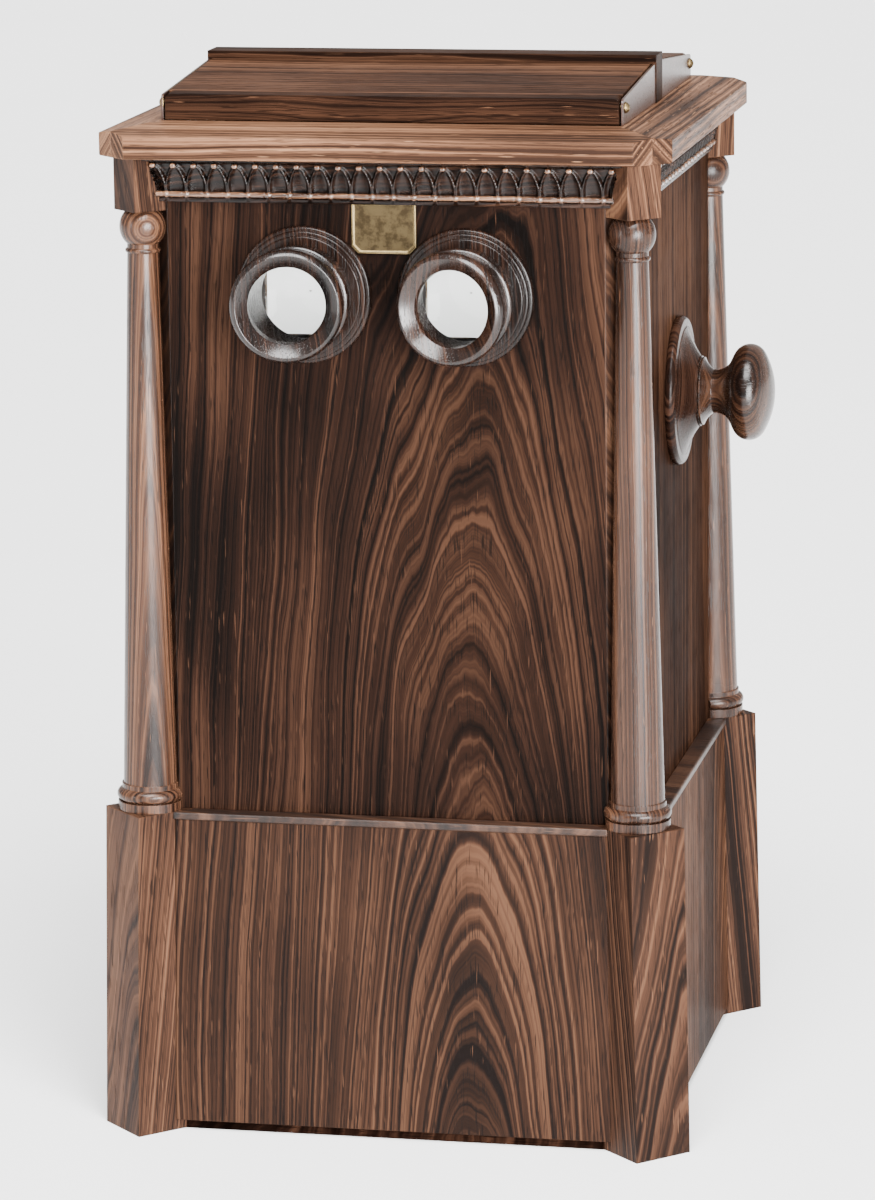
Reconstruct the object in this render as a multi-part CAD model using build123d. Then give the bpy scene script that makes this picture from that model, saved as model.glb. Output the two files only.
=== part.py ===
from build123d import *
from math import atan2, degrees, pi, sqrt
import os

# A table-top stereo viewer: a square cabinet on a base with diagonal corner blocks, four turned
# columns, a mitred cornice with two lids, two eyepieces at the front and a knob on the right side
# that turns an endless belt of wire view holders. Millimetres, X to the right, Y to the rear, Z up.
# The origin is the middle of the cabinet's underside, on the surface that it stands on.

# ---- upper case ---------------------------------------------------------------------------------------
CASE_FACE = 117.8            # middle of the cabinet to the outer face of an upper panel
CASE_TOP_Z = 470.0           # underside of the cornice
PANEL_THICK = 7.0
CORNER_CUT = 14.5            # how far the case's corners are cut back for the columns
POST_WEB = 7.3               # how far a corner post's inner face stands in from the panels' corner

# ---- base ---------------------------------------------------------------------------------------------
LEDGE_Z = 157.0              # top of the base
LEDGE_DEPTH = 8.0            # width of the ledge around the upper case
LEDGE_THICK = 3.5
LEDGE_NOSE = 0.7             # how far the ledge moulding stands over the base panel
LEDGE_ROUND = 0.9
BASE_BATTER = 2.0            # how much further out a base panel stands at its foot
BOTTOM_THICK = 5.0
BOTTOM_INSET = 3.8           # bottom board's edge behind the foot of the base panels

# ---- diagonal corner blocks: their "out" sizes are from the case's uncut corner -----------------------
BLOCK_OUT = 15.8             # plinth block's outer face, at the ledge
BLOCK_BATTER = 3.8           # how much further out that face stands at the floor
BLOCK_HALF = 15.4            # half the block's width
BLOCK_SIDE = 0.4             # joint between a plinth block and the bottom board
TOP_BLOCK_OUT = 7.0          # entablature block's outer face
TOP_BLOCK_HALF = 9.4
TOP_BLOCK_HEIGHT = 25.7

# ---- columns ------------------------------------------------------------------------------------------
COLUMN_HEAD_IN = 2.8         # a column's axis stands on the uncut corner at its foot, and this much
                             # further in at its head
DISC_R, DISC_H = 15.4, 4.2
TORUS_R, TORUS_H = 15.9, 6.2
FILLET_R, FILLET_H = 13.5, 2.4
SHAFT_FOOT_R, SHAFT_HEAD_R = 12.8, 7.5
ASTRAGAL_R, ASTRAGAL_H = 8.4, 2.2
NECK_H = 2.0
BALL_R = 11.0
BALL_SUNK = 3.2              # how far the ball would run up past the block that it meets

# ---- cornice ------------------------------------------------------------------------------------------
CORNICE_OUT = 17.4           # cornice's outer face beyond the case's
CORNICE_THICK = 10.8
CORNICE_CHAMFER = 15.7       # how far the cornice's corners are cut back
CORNICE_RISE = 3.9           # how much the boards rise towards the lids
SEAT_IN = 4.2                # case's outer face to where the boards' slope begins
CORNICE_EASE = 0.8           # rounding of the cornice's edges

# ---- frieze -------------------------------------------------------------------------------------------
FRIEZE_HEIGHT = 21.2
FRIEZE_TOP_OUT = 8.5         # how far the moulding stands out at its top
FRIEZE_LIP = 1.6             # height of the plain strip at its top
HOLLOW_OUT, HOLLOW_UP = 0.25, 0.55     # shares of the hollow's width and height that its middle passes
ROD_OUT, ROD_R = 2.2, 1.7
ROD_DROP = 17.6              # rod's axis under the cornice

# ---- lids: their heights are above the cornice's underside --------------------------------------------
LID_IN = 15.8                # case's outer face to the fascia's outer face
LID_END_IN = 10.2            # case's outer face to a lid's end
LID_THICK = 5.0
LID_LOW, LID_HIGH = 27.0, 34.0         # lid's top at the fascia and at the ridge rail
FASCIA_THICK = 9.0
FASCIA_GAP = 0.3             # under the fascia, above the level of the cornice's seat
SWING_GAP = 0.6              # around the lids, inside the cornice's opening
CORNER_ROUND = 2.5           # rounded upper corners of the fascia and the cheek plates
RIDGE_HALF = 9.0             # half the ridge rail's width
RIDGE_TOP = 37.6             # top of the rail, and of the whole viewer
RIDGE_END_OUT = 0.5          # how far the rail's ends stand over the cheek plates
STOP_WIDTH = 3.5             # the ledges on the rail that the lids close on
STOP_GAP = 0.15              # under a closed lid, and at the end of a pin or a shaft
CHEEK_THICK = 1.0
CHEEK_GAP = 1.0              # between a cheek plate and the lid's end
CHEEK_DROP = 0.5             # cheek plate's edge under the lid's top
CHEEK_FOOT = 10.0            # how far the cheek plates run down inside the cornice
LID_PIN_IN, LID_PIN_UP = 6.0, 22.4     # pin's axis behind the fascia's face, and its height
LID_PIN_R, LID_PIN_LENGTH = 1.5, 9.0
PIN_HEAD_R, PIN_HEAD_H = 2.7, 2.1
MIRROR_THICK = 2.0
MIRROR_END_IN = 9.6          # lid's end to the mirror's
MIRROR_MARGIN = 4.0          # lid's wood in front of and behind the mirror

# ---- eyepieces and lenses -----------------------------------------------------------------------------
EYE_X = 38.3                 # lens axes either side of the middle
EYE_DROP = 64.0              # cornice's underside to the lens axes
EYE_REACH = 37.2             # panel to the middle of an eyepiece's rim
RIM_R, RIM_THICK = 26.3, 8.0
RIM_TILT = 11.0              # degrees that the rims are turned towards the nose
RIM_FACE_R, RIM_MOUTH_R = 23.9, 23.5   # edges of the rim's narrow flat face
EYE_TUBE_R = 24.0
EYE_APERTURE_R = 18.0
EYE_DISH_R, EYE_DISH_SHARE = 20.0, 0.6 # a point of the dished mouth: its radius, and how deep it lies
EYE_DISH_DEPTH = 5.0
EYE_BORE_R = 20.5
EYE_BEAD_R, EYE_BEAD_THICK = 25.8, 4.0
FLANGE_STEPS = ((32.2, 3.2), (30.4, 2.4), (28.2, 1.8))   # radius and thickness of each step
FLANGE_EASE = 0.45           # share of a step's thickness that its edge is rounded by
LENS_WINDOW = 41.0           # side of the square holes behind the eyepieces
LENS_SIDE, LENS_THICK = 44.0, 8.0
LENS_CURVE_R = 80.0
LENS_FRAME_WALL = 3.5
LENS_FRAME_LIP = 1.6         # how far the frame's back covers the lens's edge
LENS_FRAME_BACK = 1.0

# ---- plate --------------------------------------------------------------------------------------------
PLATE_WIDTH, PLATE_THICK = 30.3, 0.8
PLATE_DROP = 44.1            # cornice's underside to the plate's foot
PLATE_BORDER, PLATE_BORDER_RISE = 1.0, 0.5
PLATE_CORNER = 3.0           # cut lower corners

# ---- knob and shaft -----------------------------------------------------------------------------------
SHAFT_DROP = 61.7            # lens axes to the shaft's axis
SHAFT_R = 4.0
RUNNING = 0.05               # radial clearance of a running fit
ROSETTE_GAP = 0.2            # round the shaft, in the rosette's bore
ROSETTE_R, ROSETTE_RIM = 36.3, 4.6     # outer radius, and thickness of its rounded rim
ROSETTE_BACK_R, ROSETTE_FRONT_R = 35.5, 34.7     # where the rim's rounding starts and ends
ROSETTE_STEP_R, ROSETTE_STEP_H = 30.6, 5.2
ROSETTE_STEP_EASE_R, ROSETTE_STEP_EASE_H = 31.4, 4.8
ROSETTE_HOLLOW_R, ROSETTE_HOLLOW_H = 22.8, 8.2   # middle of the curve that runs up to the top
ROSETTE_TOP_R, ROSETTE_HEIGHT, ROSETTE_TOP_EDGE = 17.0, 12.6, 0.8
KNOB_GAP = 0.4
KNOB_FOOT_R, KNOB_NECK_R, KNOB_HEAD_R = 16.4, 10.5, 23.3
KNOB_FOOT_EDGE = 0.8         # plain edge of the foot
KNOB_FOOT_LENGTH = 5.5       # foot to the start of the neck
KNOB_COVE_R, KNOB_COVE_H = 12.2, 3.4   # middle of the cove between the foot and the neck
KNOB_HEAD_OUT = 23.0         # foot to the widest part of the head
KNOB_HEAD_HALF = 12.0        # half the thickness of the flattened ball
KNOB_EDGE_R = 8.0            # round of the ball's edge
KNOB_THROAT_R = 8.0          # sweep from the neck into the ball
KNOB_BORE = 22.0             # how far the shaft runs into the knob
BUSH_WALL, BUSH_FLANGE, BUSH_FLANGE_THICK = 3.0, 3.0, 1.2
BLIND_LEFT = 2.0             # wood left outside the shaft's blind hole

# ---- belt and rollers ---------------------------------------------------------------------------------
ROLLER_R = 17.0
ROLLER_END_GAP = 12.8        # inner face of a side panel to a roller's end
LOWER_Z = 119.0              # lower roller's axis
AXLE_R = 3.0
BELT_GAP = 0.3               # the belt hangs clear of the rollers by this much
TAPE_THICK, TAPE_WIDTH, TAPE_X = 0.8, 24.0, 60.0
HOLDER_COUNT = 18
SLAT_HALF, SLAT_WIDTH, SLAT_THICK = 90.0, 9.0, 3.0
WIRE_R, WIRE_HALF = 0.8, 86.0
VIEW_HEIGHT = 86.0           # a view standing on its slat
WIRE_CORNER = 6.0
SWEEP_GAP = 2.0              # between the holders' sweep and the partition

# ---- rear glass and partition -------------------------------------------------------------------------
WINDOW_END_IN = 16.8         # inner face of a side panel to the window's end
WINDOW_DROP, WINDOW_HEIGHT = 30.0, 140.0
GLASS_THICK, GLASS_MARGIN = 2.0, 4.0
BEAD_THICK = 1.2
PARTITION_THICK = 3.0
PARTITION_DROP = 30.0        # lens axes to the partition's foot
PARTITION_BACK = 12.0        # middle of the cabinet to the partition's rear edge, at its top

# ---- sizes worked out from the ones above -------------------------------------------------------------
ROOT2 = sqrt(2)
CASE_CORNER = CASE_FACE * ROOT2                      # the uncut corner, along the diagonal
CASE_INNER = CASE_FACE - PANEL_THICK
PANEL_END = CASE_FACE - CORNER_CUT
POST_FACE = (CASE_FACE + PANEL_END) / ROOT2          # diagonal face that the columns stand against
BASE_TOP_FACE = CASE_FACE + LEDGE_DEPTH
BASE_FOOT_FACE = BASE_TOP_FACE + BASE_BATTER
BLOCK_FACE = CASE_CORNER + BLOCK_OUT
BLOCK_INNER = (2 * CASE_INNER - BLOCK_HALF * ROOT2) / ROOT2
TOP_BLOCK_FACE = CASE_CORNER + TOP_BLOCK_OUT
TOP_BLOCK_Z = CASE_TOP_Z - TOP_BLOCK_HEIGHT
BOTTOM_FACE = BASE_FOOT_FACE - BOTTOM_INSET
CORNICE_FACE = CASE_FACE + CORNICE_OUT
SEAT_FACE = CASE_FACE - SEAT_IN
SEAT_Z = CASE_TOP_Z + CORNICE_THICK + CORNICE_RISE
FRIEZE_FOOT_Z = CASE_TOP_Z - FRIEZE_HEIGHT
ROD_Z = CASE_TOP_Z - ROD_DROP
LID_FRONT = CASE_FACE - LID_IN
LID_HALF = CASE_FACE - LID_END_IN
LID_LOW_Z = CASE_TOP_Z + LID_LOW
LID_HIGH_Z = CASE_TOP_Z + LID_HIGH
RIDGE_Z = CASE_TOP_Z + RIDGE_TOP
CHEEK_INNER = LID_HALF + CHEEK_GAP
CHEEK_OUTER = CHEEK_INNER + CHEEK_THICK
OPENING_FRONT = LID_FRONT + SWING_GAP
LID_PIN_Y = LID_FRONT - LID_PIN_IN
LID_PIN_Z = CASE_TOP_Z + LID_PIN_UP
LID_BACK = RIDGE_HALF + STOP_GAP * 2
LID_SLOPE = (LID_HIGH_Z - LID_LOW_Z) / (LID_FRONT - LID_BACK)
MIRROR_HALF = LID_HALF - MIRROR_END_IN
EYE_Z = CASE_TOP_Z - EYE_DROP
RIM_BACK = EYE_REACH - RIM_THICK / 2
PLATE_FOOT_Z = CASE_TOP_Z - PLATE_DROP
SHAFT_Z = EYE_Z - SHAFT_DROP
WINDOW_HALF = CASE_INNER - WINDOW_END_IN
WINDOW_HIGH_Z = CASE_TOP_Z - WINDOW_DROP
WINDOW_LOW_Z = WINDOW_HIGH_Z - WINDOW_HEIGHT
GLASS_IN = CASE_INNER + BEAD_THICK
PARTITION_FOOT_Z = EYE_Z - PARTITION_DROP
ROLLER_HALF = CASE_INNER - ROLLER_END_GAP
BELT_INNER_R = ROLLER_R + BELT_GAP
BELT_OUTER_R = BELT_INNER_R + TAPE_THICK
SLAT_TOP = BELT_OUTER_R + SLAT_THICK
SWEEP_R = SLAT_TOP + VIEW_HEIGHT
BELT_RUN = SHAFT_Z - LOWER_Z
BELT_LENGTH = 2 * BELT_RUN + 2 * pi * BELT_INNER_R
ROSETTE_BORE_R = SHAFT_R + ROSETTE_GAP
BUSH_R = SHAFT_R + RUNNING + BUSH_WALL
AXLE_BUSH_R = AXLE_R + RUNNING + BUSH_WALL
KNOB_FOOT_X = CASE_FACE + ROSETTE_HEIGHT + KNOB_GAP

SIDES = {"front": 0, "right": 90, "rear": 180, "left": 270}
CORNERS = {"front_right": 0, "rear_right": 90, "rear_left": 180, "front_left": 270}


# ---- helpers ------------------------------------------------------------------------------------------
def box(low, high):
    """A box between two opposite corners."""
    size = [b - a for a, b in zip(low, high)]
    middle = [(a + b) / 2 for a, b in zip(low, high)]
    return Pos(*middle) * Box(*size)


def prism(points, low_z, high_z):
    """An upright prism on an outline of (x, y) points."""
    return Pos(0, 0, low_z) * extrude(make_face(Polyline(*points, close=True)), high_z - low_z)


def turned(outline):
    """A turning about Z from a closed outline in the XZ plane."""
    return revolve(make_face(outline), Axis.Z)


def along_x(solid, x, z):
    """Lay a Z turning along +X, with its origin at (x, 0, z)."""
    return Pos(x, 0, z) * Rot(0, 90, 0) * solid


def side_section(points, half_length):
    """The front side's moulding: (outward from the middle, height) points, swept along X."""
    face = make_face(Polyline(*[(0, -out, z) for out, z in points], close=True))
    return Pos(-half_length, 0, 0) * extrude(face, 2 * half_length, dir=(1, 0, 0))


def diagonal_box(inner, outer, half_width, low_z, high_z):
    """A box that points out along the front right diagonal."""
    return Rot(0, 0, -45) * box((inner, -half_width, low_z), (outer, half_width, high_z))


def outside_blocks(half_width):
    """The wedge of space between the front right and front left blocks, on the front side."""
    reach = 3 * CASE_FACE
    near = half_width * ROOT2
    return prism([(0, -near), (reach - near, -reach), (near - reach, -reach)], -1, RIDGE_Z + 1)


def round_bar(radius, low, high):
    """A round bar along Z."""
    return Pos(0, 0, (low + high) / 2) * Cylinder(radius, high - low)


# ---- base ---------------------------------------------------------------------------------------------
def bottom_board():
    board = box((-BOTTOM_FACE, -BOTTOM_FACE, 0), (BOTTOM_FACE, BOTTOM_FACE, BOTTOM_THICK))
    inner, half = BLOCK_INNER - BLOCK_SIDE, BLOCK_HALF + BLOCK_SIDE
    notch = diagonal_box(inner, 2 * BLOCK_FACE, half, -1, BOTTOM_THICK + 1)
    for turn in CORNERS.values():
        board -= Rot(0, 0, turn) * notch
    return board


def base_panel():
    section = [
        (CASE_INNER, BOTTOM_THICK),
        (BASE_FOOT_FACE, BOTTOM_THICK),
        (BASE_TOP_FACE, LEDGE_Z - LEDGE_THICK),
        (CASE_FACE, LEDGE_Z - LEDGE_THICK),
        (CASE_FACE, LEDGE_Z),
        (CASE_INNER, LEDGE_Z),
    ]
    return side_section(section, CASE_FACE) & outside_blocks(BLOCK_HALF)


def side_base_panel():
    """A base panel with the blind hole of the lower axle's bush."""
    hole = along_x(round_bar(AXLE_BUSH_R, CASE_INNER - 1, CASE_FACE), 0, LOWER_Z)
    return base_panel() - Rot(0, 0, -90) * hole


def ledge_moulding():
    nose = BASE_TOP_FACE + LEDGE_NOSE
    low, high = LEDGE_Z - LEDGE_THICK, LEDGE_Z
    strip = side_section([(CASE_FACE, low), (nose, low), (nose, high), (CASE_FACE, high)], CASE_FACE)
    edges = strip.edges().filter_by(Axis.X).group_by(Axis.Y)[0]
    return fillet(edges, LEDGE_ROUND) & outside_blocks(BLOCK_HALF)


def plinth_block():
    section = [
        (BLOCK_INNER, 0, 0),
        (BLOCK_FACE + BLOCK_BATTER, 0, 0),
        (BLOCK_FACE, 0, LEDGE_Z),
        (BLOCK_INNER, 0, LEDGE_Z),
    ]
    face = make_face(Polyline(*section, close=True))
    block = extrude(face, 2 * BLOCK_HALF, dir=(0, 1, 0))
    return Rot(0, 0, -45) * Pos(0, -BLOCK_HALF, 0) * block


# ---- upper case ---------------------------------------------------------------------------------------
def plain_panel():
    return box((-PANEL_END, -CASE_FACE, LEDGE_Z), (PANEL_END, -CASE_INNER, CASE_TOP_Z))


def front_panel():
    panel = plain_panel()
    half = LENS_WINDOW / 2
    for x in (-EYE_X, EYE_X):
        low = (x - half, -CASE_FACE - 1, EYE_Z - half)
        high = (x + half, -CASE_INNER + 1, EYE_Z + half)
        panel -= box(low, high)
    return panel


def rear_panel():
    panel = Rot(0, 0, 180) * plain_panel()
    inside, outside = CASE_INNER - 1, CASE_FACE + 1
    window = box((-WINDOW_HALF, inside, WINDOW_LOW_Z), (WINDOW_HALF, outside, WINDOW_HIGH_Z))
    low = (-WINDOW_HALF - GLASS_MARGIN, inside, WINDOW_LOW_Z - GLASS_MARGIN)
    high = (WINDOW_HALF + GLASS_MARGIN, GLASS_IN + GLASS_THICK, WINDOW_HIGH_Z + GLASS_MARGIN)
    return panel - window - box(low, high)


def right_panel():
    hole = along_x(round_bar(BUSH_R, CASE_INNER - 1, CASE_FACE + 1), 0, SHAFT_Z)
    return Rot(0, 0, 90) * plain_panel() - hole


def left_panel():
    hole = along_x(round_bar(BUSH_R, -CASE_FACE + BLIND_LEFT, -CASE_INNER + 1), 0, SHAFT_Z)
    return Rot(0, 0, 270) * plain_panel() - hole


def corner_post():
    """The post between two panels, with the diagonal face that its column stands against."""
    web = CASE_INNER - PANEL_THICK - POST_WEB
    outline = [
        (PANEL_END, -CASE_FACE),
        (CASE_FACE, -PANEL_END),
        (CASE_INNER, -PANEL_END),
        (CASE_INNER, -web),
        (web, -CASE_INNER),
        (PANEL_END, -CASE_INNER),
    ]
    return prism(outline, LEDGE_Z, CASE_TOP_Z)


def column():
    """A turned column with a ball at its head, its back planed flat against the corner post."""
    height = TOP_BLOCK_Z - LEDGE_Z
    torus_z = DISC_H + TORUS_H
    shaft_z = torus_z + FILLET_H
    ball_z = height + BALL_SUNK - BALL_R
    neck_z = ball_z - sqrt(BALL_R**2 - SHAFT_HEAD_R**2)
    bead_z = neck_z - NECK_H
    cut_r = sqrt(BALL_R**2 - (height - ball_z)**2)
    outline = Curve() + [
        Polyline((0, 0, 0), (DISC_R, 0, 0), (DISC_R, 0, DISC_H), (FILLET_R, 0, DISC_H)),
        ThreePointArc(
            (FILLET_R, 0, DISC_H), (TORUS_R, 0, DISC_H + TORUS_H / 2), (FILLET_R, 0, torus_z)),
        Polyline(
            (FILLET_R, 0, torus_z), (FILLET_R, 0, shaft_z), (SHAFT_FOOT_R, 0, shaft_z),
            (SHAFT_HEAD_R, 0, bead_z - ASTRAGAL_H)),
        ThreePointArc(
            (SHAFT_HEAD_R, 0, bead_z - ASTRAGAL_H), (ASTRAGAL_R, 0, bead_z - ASTRAGAL_H / 2),
            (SHAFT_HEAD_R, 0, bead_z)),
        Line((SHAFT_HEAD_R, 0, bead_z), (SHAFT_HEAD_R, 0, neck_z)),
        ThreePointArc((SHAFT_HEAD_R, 0, neck_z), (BALL_R, 0, ball_z), (cut_r, 0, height)),
        Polyline((cut_r, 0, height), (0, 0, height), (0, 0, 0)),
    ]
    lean = degrees(atan2(COLUMN_HEAD_IN, height))
    turning = Pos(CASE_CORNER, 0, LEDGE_Z) * Rot(0, -lean, 0) * turned(outline)
    reach = 2 * TORUS_R
    room = box((POST_FACE, -reach, LEDGE_Z), (POST_FACE + 2 * reach, reach, TOP_BLOCK_Z))
    return Rot(0, 0, -45) * (turning & room)


def entablature_block():
    return diagonal_box(POST_FACE, TOP_BLOCK_FACE, TOP_BLOCK_HALF, TOP_BLOCK_Z, CASE_TOP_Z)


def frieze():
    """The moulding under the cornice: a rod at its foot and a hollow that runs out to its top."""
    face = CASE_FACE
    rod = face + ROD_OUT
    top = face + FRIEZE_TOP_OUT
    lip_z = CASE_TOP_Z - FRIEZE_LIP
    hollow_z = ROD_Z + ROD_R
    middle = (rod + (top - rod) * HOLLOW_OUT, hollow_z + (lip_z - hollow_z) * HOLLOW_UP)
    outline = Curve() + [
        Polyline(
            (0, -face, CASE_TOP_Z), (0, -face, FRIEZE_FOOT_Z), (0, -rod, FRIEZE_FOOT_Z),
            (0, -rod, ROD_Z - ROD_R)),
        ThreePointArc((0, -rod, ROD_Z - ROD_R), (0, -rod - ROD_R, ROD_Z), (0, -rod, hollow_z)),
        ThreePointArc((0, -rod, hollow_z), (0, -middle[0], middle[1]), (0, -top, lip_z)),
        Polyline((0, -top, lip_z), (0, -top, CASE_TOP_Z), (0, -face, CASE_TOP_Z)),
    ]
    moulding = Pos(-CASE_FACE, 0, 0) * extrude(make_face(outline), 2 * CASE_FACE, dir=(1, 0, 0))
    return moulding & outside_blocks(TOP_BLOCK_HALF)


# ---- cornice and lids ---------------------------------------------------------------------------------
def cornice_board(inner, seat_half):
    """One mitred board, its top rising from the edge to the flat seat around the lids.

    inner is where its inner edge lies, and seat_half is half that edge's length.
    """
    edge_z = CASE_TOP_Z + CORNICE_THICK
    section = [
        (inner, CASE_TOP_Z), (CORNICE_FACE, CASE_TOP_Z), (CORNICE_FACE, edge_z),
        (SEAT_FACE, SEAT_Z), (inner, SEAT_Z),
    ]
    board = side_section(section, CORNICE_FACE)
    board = fillet(board.edges().filter_by(Axis.X).group_by(Axis.Y)[0], CORNICE_EASE)
    reach = 2 * CORNICE_FACE
    low, high = CASE_TOP_Z - 1, SEAT_Z + 1
    mitre = prism([(0, 0), (reach, -reach), (-reach, -reach)], low, high)
    if seat_half > inner:
        mitre += box((-seat_half, -seat_half, low), (seat_half, -inner, high))
    board &= mitre
    chamfer = (reach - CORNICE_CHAMFER) / ROOT2
    for turn in (CORNERS["front_right"], CORNERS["front_left"]):
        board -= Rot(0, 0, turn) * diagonal_box(chamfer, reach, CORNICE_FACE, low, high)
    return board


def lid_top_z(y_from_middle):
    """Height of a lid's top surface at a distance from the cabinet's middle."""
    return LID_LOW_Z + (LID_FRONT - y_from_middle) * LID_SLOPE


def ridge_rail():
    end = CHEEK_OUTER + RIDGE_END_OUT
    rail = box((-end, -RIDGE_HALF, SEAT_Z), (end, RIDGE_HALF, RIDGE_Z))
    stop = RIDGE_HALF + STOP_WIDTH
    stop_z = lid_top_z(stop) - LID_THICK - STOP_GAP
    return rail + box((-LID_HALF, -stop, SEAT_Z), (LID_HALF, stop, stop_z))


def cheek_plate():
    """The thin plate at the front lid's right end."""
    foot_z = SEAT_Z - CHEEK_FOOT
    front = LID_FRONT - CHEEK_DROP
    outline = [
        (0, -front, foot_z),
        (0, -RIDGE_HALF, foot_z),
        (0, -RIDGE_HALF, lid_top_z(RIDGE_HALF) - CHEEK_DROP),
        (0, -front, lid_top_z(front) - CHEEK_DROP),
    ]
    face = make_face(Polyline(*outline, close=True))
    plate = Pos(CHEEK_INNER, 0, 0) * extrude(face, CHEEK_THICK, dir=(1, 0, 0))
    corner = plate.edges().filter_by(Axis.X).group_by(Axis.Y)[0].sort_by(Axis.Z)[-1]
    plate = fillet(corner, CORNER_ROUND)
    hole = along_x(round_bar(LID_PIN_R + RUNNING, CHEEK_INNER - 1, CHEEK_OUTER + 1), 0, LID_PIN_Z)
    return plate - Pos(0, -LID_PIN_Y, 0) * hole


def cheek_plates():
    right = [cheek_plate(), mirror(cheek_plate(), Plane.XZ)]
    return right + [mirror(plate, Plane.YZ) for plate in right]


def lid_pin():
    """A dome-headed pin, driven into the right end of the front lid's fascia."""
    head_x = CHEEK_OUTER + STOP_GAP
    shank = round_bar(LID_PIN_R, head_x - LID_PIN_LENGTH, head_x)
    dome_r = (PIN_HEAD_R**2 + PIN_HEAD_H**2) / (2 * PIN_HEAD_H)
    dome = Pos(0, 0, head_x + PIN_HEAD_H - dome_r) * Sphere(dome_r)
    dome &= round_bar(PIN_HEAD_R, head_x, head_x + PIN_HEAD_H)
    return Pos(0, -LID_PIN_Y, 0) * along_x(shank + dome, 0, LID_PIN_Z)


def lid_pins():
    return [lid_pin(), mirror(lid_pin(), Plane.YZ)]


def lid_fascia():
    back = LID_FRONT - FASCIA_THICK
    section = [
        (LID_FRONT, SEAT_Z + FASCIA_GAP), (LID_FRONT, LID_LOW_Z), (back, lid_top_z(back)),
        (back, SEAT_Z + FASCIA_GAP),
    ]
    batten = side_section(section, LID_HALF)
    ends = batten.edges().filter_by(Axis.Y, reverse=True).filter_by(Axis.X, reverse=True)
    ends = ends.filter_by(Axis.Z, reverse=True)
    batten = fillet(ends, CORNER_ROUND)
    for pin in lid_pins():
        batten -= pin
    return batten


def mirror_plate():
    front = LID_FRONT - FASCIA_THICK - MIRROR_MARGIN
    back = RIDGE_HALF + STOP_WIDTH + MIRROR_MARGIN
    under = [(out, lid_top_z(out) - LID_THICK) for out in (front, back)]
    over = [(out, z + MIRROR_THICK) for out, z in reversed(under)]
    return side_section(under + over, MIRROR_HALF)


def lid_board():
    front = LID_FRONT - FASCIA_THICK
    over = [(out, lid_top_z(out)) for out in (front, LID_BACK)]
    under = [(out, z - LID_THICK) for out, z in reversed(over)]
    return side_section(over + under, LID_HALF) - mirror_plate()


# ---- eyepieces ----------------------------------------------------------------------------------------
def forward(solid):
    """Lay a Z turning so that it points out of the front, from the right lens axis on the panel."""
    return Pos(EYE_X, -CASE_FACE, EYE_Z) * Rot(90, 0, 0) * solid


def tilted_rim(solid):
    """Place a Z turning on the rim's tilted axis, its origin in the middle of the rim."""
    return forward(Pos(0, 0, EYE_REACH) * Rot(0, -RIM_TILT, 0) * solid)


def right_eyepiece():
    """A turned eyecup: a straight tube with a bead, and a rounded rim turned towards the nose."""
    half = RIM_THICK / 2
    dish_z = half - EYE_DISH_DEPTH
    outline = Curve() + [
        Polyline((0, 0, -half), (RIM_R - half, 0, -half)),
        ThreePointArc((RIM_R - half, 0, -half), (RIM_R, 0, 0), (RIM_FACE_R, 0, half)),
        Line((RIM_FACE_R, 0, half), (RIM_MOUTH_R, 0, half)),
        ThreePointArc(
            (RIM_MOUTH_R, 0, half), (EYE_DISH_R, 0, half - EYE_DISH_DEPTH * EYE_DISH_SHARE),
            (EYE_APERTURE_R, 0, dish_z)),
        Polyline((EYE_APERTURE_R, 0, dish_z), (0, 0, dish_z), (0, 0, -half)),
    ]
    rim = tilted_rim(turned(outline))
    tube = forward(round_bar(EYE_TUBE_R, 0, EYE_REACH))
    tube -= tilted_rim(round_bar(3 * RIM_R, -half, 2 * EYE_REACH))
    bead = Torus(EYE_BEAD_R - EYE_BEAD_THICK / 2, EYE_BEAD_THICK / 2)
    tube += forward(Pos(0, 0, RIM_BACK / 2 + EYE_BEAD_THICK) * bead)
    cup = tube + rim
    cup -= forward(round_bar(EYE_BORE_R, -1, RIM_BACK - half))
    return cup - tilted_rim(round_bar(EYE_APERTURE_R, -3 * half, half))


def right_flange():
    """The stepped flange around the eyepiece's foot."""
    flange = None
    height = 0.0
    for radius, thick in FLANGE_STEPS:
        step = round_bar(radius, height, height + thick)
        step = fillet(step.edges().group_by(Axis.Z)[-1], thick * FLANGE_EASE)
        flange = step if flange is None else flange + step
        height += thick
    return forward(flange - round_bar(EYE_TUBE_R, -1, height + 1))


def right_lens():
    """A square-cut lens behind the front panel, flat in front and domed behind."""
    half = LENS_SIDE / 2
    block = box((-half, -half, -LENS_THICK), (half, half, 0))
    dome = Pos(0, 0, LENS_CURVE_R - LENS_THICK) * Sphere(LENS_CURVE_R)
    return Pos(EYE_X, -CASE_INNER, EYE_Z) * Rot(90, 0, 0) * (block & dome)


def lens_frame():
    """The square frame that holds the right lens against the panel."""
    half = LENS_SIDE / 2
    outer = half + LENS_FRAME_WALL
    sight = half - LENS_FRAME_LIP
    corner_thick = LENS_THICK - LENS_CURVE_R + sqrt(LENS_CURVE_R**2 - half**2)
    depth = corner_thick + LENS_FRAME_BACK
    frame = box((-outer, 0, -outer), (outer, depth, outer))
    frame -= box((-half, -1, -half), (half, corner_thick, half))
    frame -= box((-sight, 0, -sight), (sight, depth + 1, sight))
    placed = Pos(EYE_X, -CASE_INNER, EYE_Z) * frame
    return placed - right_lens()


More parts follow.
